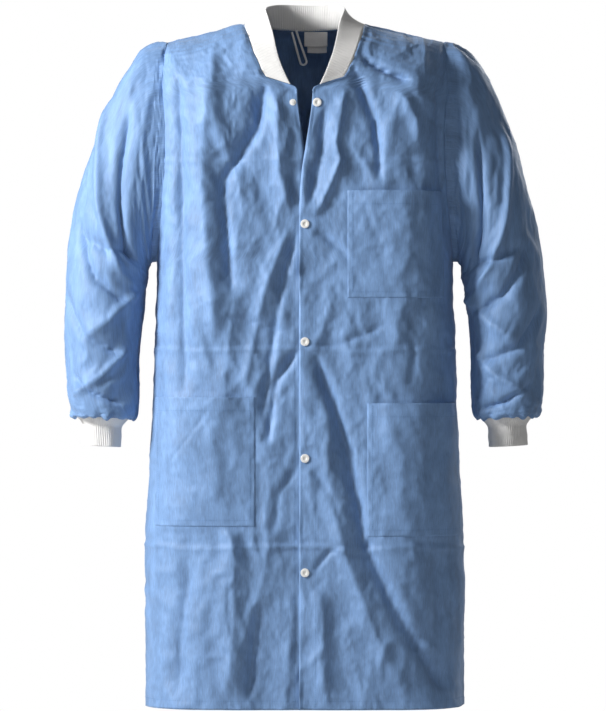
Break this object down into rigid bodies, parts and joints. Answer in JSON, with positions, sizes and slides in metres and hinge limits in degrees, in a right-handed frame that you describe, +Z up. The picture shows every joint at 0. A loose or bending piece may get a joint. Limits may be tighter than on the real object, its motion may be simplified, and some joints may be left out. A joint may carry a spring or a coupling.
{
  "type": "disposable lab coat",
  "caption": "Knee-length blue nonwoven lab coat with white knit collar and cuffs, ring snaps down the front, a chest pocket and lower pockets.",
  "frame": {"origin": "centre back of the neck seam on the inside, where the hang loop is stitched and the coat is held up", "axes": "+Z up along the coat, front towards -Y, +X towards the wearer's left (the viewer's right from the front)"},
  "size_m": [0.7468, 0.251, 1.0871],
  "materials": {
    "nonwoven": "soft sheen, calendered nonwoven",
    "rib_knit": "matt rib knit",
    "snap_plastic": "smooth moulded",
    "label": "matt woven tape"
  },
  "bodies": {
    "coat": {"back_panel": "nonwoven", "front_panel_left": "nonwoven", "front_panel_right": "nonwoven", "knit_collar": "rib_knit", "chest_pocket": "nonwoven", "lower_pocket_left": "nonwoven", "lower_pocket_right": "nonwoven"},
    "left_front": {"front_flap_left": "nonwoven", "snap_caps": "snap_plastic", "snap_sockets": "snap_plastic"},
    "right_front": {"front_flap_right": "nonwoven", "snap_studs": "snap_plastic", "snap_posts": "snap_plastic"},
    "left_arm": {"sleeve_left": "nonwoven", "knit_cuff_left": "rib_knit"},
    "right_arm": {"sleeve_right": "nonwoven", "knit_cuff_right": "rib_knit"},
    "labels": {"neck_label": "label", "care_label": "label"},
    "loop": {"hang_loop": "label"}
  },
  "joints": [
    {"name": "left_front_opens", "type": "hinge", "parent": "coat", "child": "left_front", "pos_m": [0.085, -0.18059, -1.04482], "axis": [-0.0616, 0.0324, 0.9976], "range_deg": [0, 150]},
    {"name": "right_front_opens", "type": "hinge", "parent": "coat", "child": "right_front", "pos_m": [-0.085, -0.18059, -1.04482], "axis": [-0.0616, -0.0324, -0.9976], "range_deg": [0, 75]},
    {"name": "left_arm_lifts", "type": "hinge", "parent": "coat", "child": "left_arm", "pos_m": [0.2134, -0.05159, -0.02095], "axis": [0, -1, 0], "range_deg": [0, 45]},
    {"name": "right_arm_lifts", "type": "hinge", "parent": "coat", "child": "right_arm", "pos_m": [-0.2134, -0.05159, -0.02095], "axis": [0, 1, 0], "range_deg": [0, 45]},
    {"name": "labels_flip", "type": "hinge", "parent": "coat", "child": "labels", "pos_m": [0.017, 0, 0], "axis": [-1, 0, 0], "range_deg": [0, 90]},
    {"name": "loop_lifts", "type": "hinge", "parent": "coat", "child": "loop", "pos_m": [-0.017, 0, 0], "axis": [-1, 0, 0], "range_deg": [0, 120]}
  ],
  "couplings": [
    {"joint": "right_front_opens", "follows": "left_front_opens", "ratio": 0.5}
  ]
}
